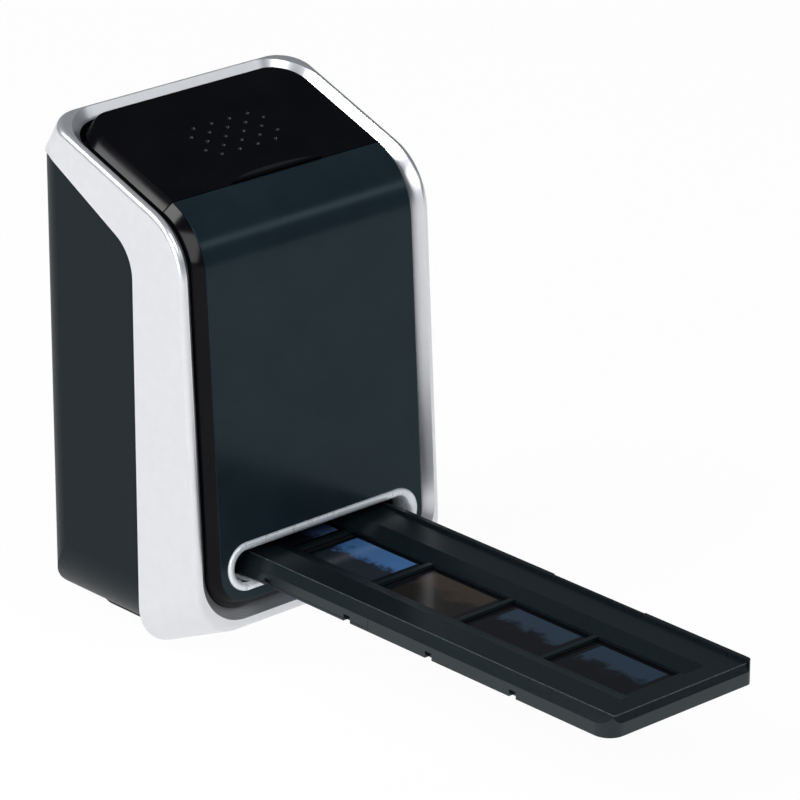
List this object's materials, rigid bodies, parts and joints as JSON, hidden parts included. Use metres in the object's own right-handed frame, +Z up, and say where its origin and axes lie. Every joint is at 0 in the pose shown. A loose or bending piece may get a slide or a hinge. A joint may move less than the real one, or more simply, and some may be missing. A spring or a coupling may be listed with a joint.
{
  "type": "film negative scanner",
  "caption": "Upright desktop film negative scanner with a sloped hinged lid over its controls and a film holder sliding through a slot near the base.",
  "frame": {"origin": "on the standing plane under the middle of the housing's width, at the foot's underside", "axes": "+X to the right seen from the front, +Y to the back along the film holder's travel, +Z up"},
  "size_m": [0.1054, 0.251, 0.1734],
  "materials": {
    "silver": "satin silver paint",
    "dark_housing": "satin, dark blue-black",
    "gloss_black": "high gloss, dark blue-black",
    "slot_chrome": "satin bright",
    "black": "matt black",
    "holder_black": "satin black, fine grain",
    "film": "developed film, blue-grey and brown frames",
    "foot_rubber": "matt",
    "steel": "bright",
    "screen_glass": "clear, dark behind",
    "lens_glass": "clear, coated",
    "board": "green board",
    "sensor": "dark, shiny",
    "ribbon": "amber film",
    "white_plastic": "white, diffusing",
    "button_grey": "satin grey"
  },
  "bodies": {
    "scanner": {"rear_housing": "dark_housing", "frame_ring": "silver", "inner_bezel": "black", "front_panel": "gloss_black", "slot_ring": "slot_chrome", "lid_hinge_pin": "steel", "control_deck": "black", "display_module": "black", "display_window": "screen_glass", "button_board": "board", "foot_ring": "foot_rubber", "base_screw_left": "steel", "base_screw_right": "steel", "lower_guide": "black", "upper_guide": "black", "detent_spring": "steel", "light_box": "white_plastic", "diffuser": "white_plastic", "backlight_board": "board", "optics_tower": "black", "lens_barrel": "black", "lower_lens": "lens_glass", "upper_lens": "lens_glass", "camera_board": "board", "image_sensor": "sensor", "main_board": "board", "usb_socket": "steel", "card_socket": "steel", "sensor_ribbon": "ribbon"},
    "lid": {"top_lid": "gloss_black"},
    "holder": {"holder_base": "holder_black", "holder_cover": "holder_black", "holder_hinge_pin": "steel", "latch_front": "holder_black", "latch_rear": "holder_black", "film_strip": "film"},
    "button_1": {"button_1": "button_grey"},
    "button_2": {"button_2": "button_grey"},
    "button_3": {"button_3": "button_grey"},
    "button_4": {"button_4": "button_grey"},
    "button_5": {"button_5": "button_grey"}
  },
  "joints": [
    {"name": "lid_hinge", "type": "hinge", "parent": "scanner", "child": "lid", "pos_m": [0, 0.02427, 0.16701], "axis": [-1, 0, 0], "range_deg": [0, 75]},
    {"name": "holder_slide", "type": "slide", "parent": "scanner", "child": "holder", "axis": [0, 1, 0], "range_m": [-0.095, 0.152]},
    {"name": "button_1_press", "type": "slide", "parent": "scanner", "child": "button_1", "axis": [0, 0.3387, -0.9409], "range_m": [0, 0.0006], "stiffness_N_per_m": 500, "springref_m": -0.001},
    {"name": "button_2_press", "type": "slide", "parent": "scanner", "child": "button_2", "axis": [0, 0.3387, -0.9409], "range_m": [0, 0.0006], "stiffness_N_per_m": 500, "springref_m": -0.001},
    {"name": "button_3_press", "type": "slide", "parent": "scanner", "child": "button_3", "axis": [0, 0.3387, -0.9409], "range_m": [0, 0.0006], "stiffness_N_per_m": 500, "springref_m": -0.001},
    {"name": "button_4_press", "type": "slide", "parent": "scanner", "child": "button_4", "axis": [0, 0.3387, -0.9409], "range_m": [0, 0.0006], "stiffness_N_per_m": 500, "springref_m": -0.001},
    {"name": "button_5_press", "type": "slide", "parent": "scanner", "child": "button_5", "axis": [0, 0.3387, -0.9409], "range_m": [0, 0.0006], "stiffness_N_per_m": 500, "springref_m": -0.001}
  ]
}
